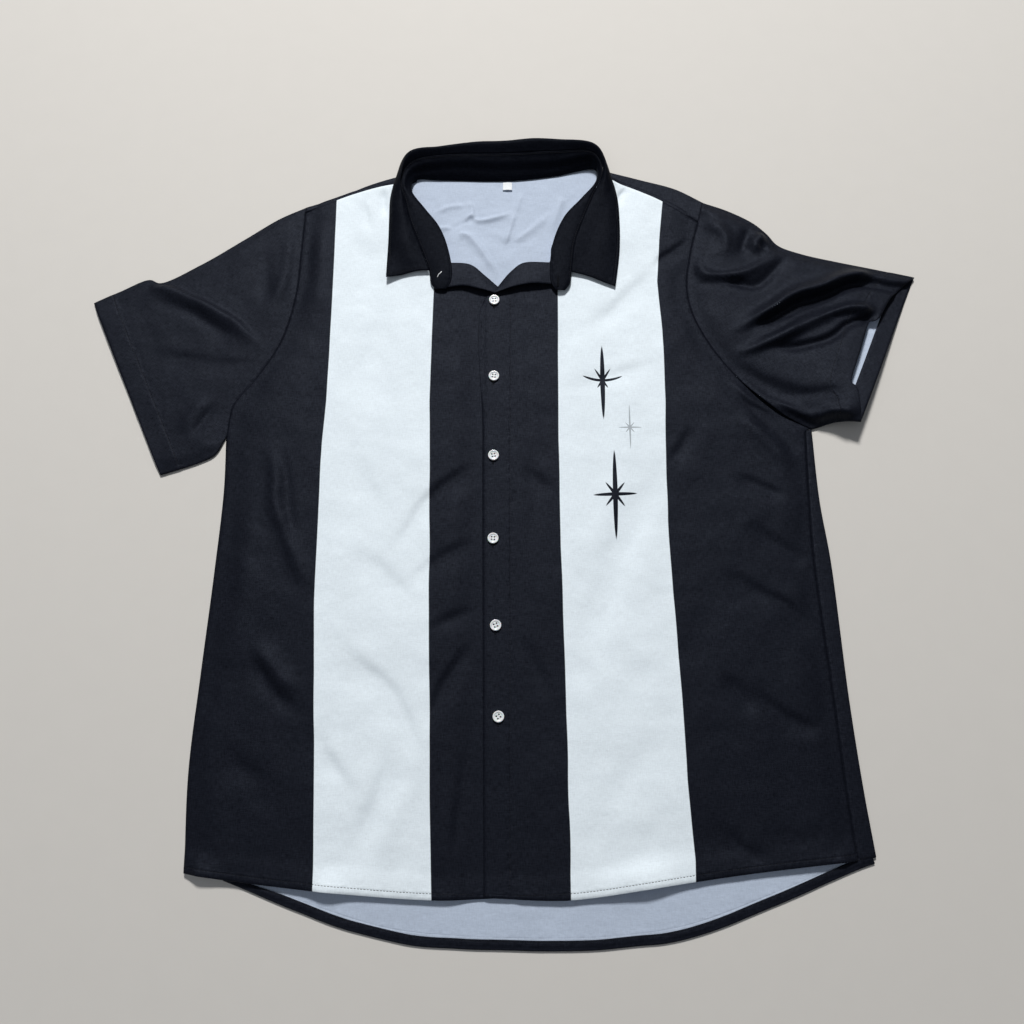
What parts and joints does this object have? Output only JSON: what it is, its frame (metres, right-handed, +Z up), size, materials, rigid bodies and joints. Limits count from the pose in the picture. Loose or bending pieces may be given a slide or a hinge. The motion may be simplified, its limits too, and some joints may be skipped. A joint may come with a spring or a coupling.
{
  "type": "bowling shirt",
  "caption": "Short-sleeved bowling shirt laid flat and buttoned, its two-piece collar open, with pale front stripes and a turned hem.",
  "frame": {"origin": "middle of the shirt's outline, on the surface it lies on", "axes": "+X towards the wearer's left sleeve, +Y from the hem to the collar, +Z up from the surface"},
  "size_m": [0.886, 0.8386, 0.0262],
  "materials": {
    "shirt_cloth": "soft sheen, fine plain weave, printed pale stripes on the fronts",
    "hem_cloth": "soft sheen, fine plain weave",
    "label_cloth": "woven tape, bare",
    "button": "pearl gloss"
  },
  "bodies": {
    "root": {"back": "shirt_cloth", "right_front": "shirt_cloth", "left_front": "shirt_cloth", "right_front_facing": "shirt_cloth", "left_front_facing": "shirt_cloth", "right_sleeve": "shirt_cloth", "left_sleeve": "shirt_cloth", "collar_stand": "shirt_cloth", "collar_fall": "shirt_cloth", "back_hem_band": "hem_cloth", "left_sleeve_hem_band": "hem_cloth", "neck_label": "label_cloth", "front_button_1": "button", "front_button_2": "button", "front_button_3": "button", "front_button_4": "button", "front_button_5": "button", "front_button_6": "button", "neck_button": "button"}
  },
  "joints": []
}
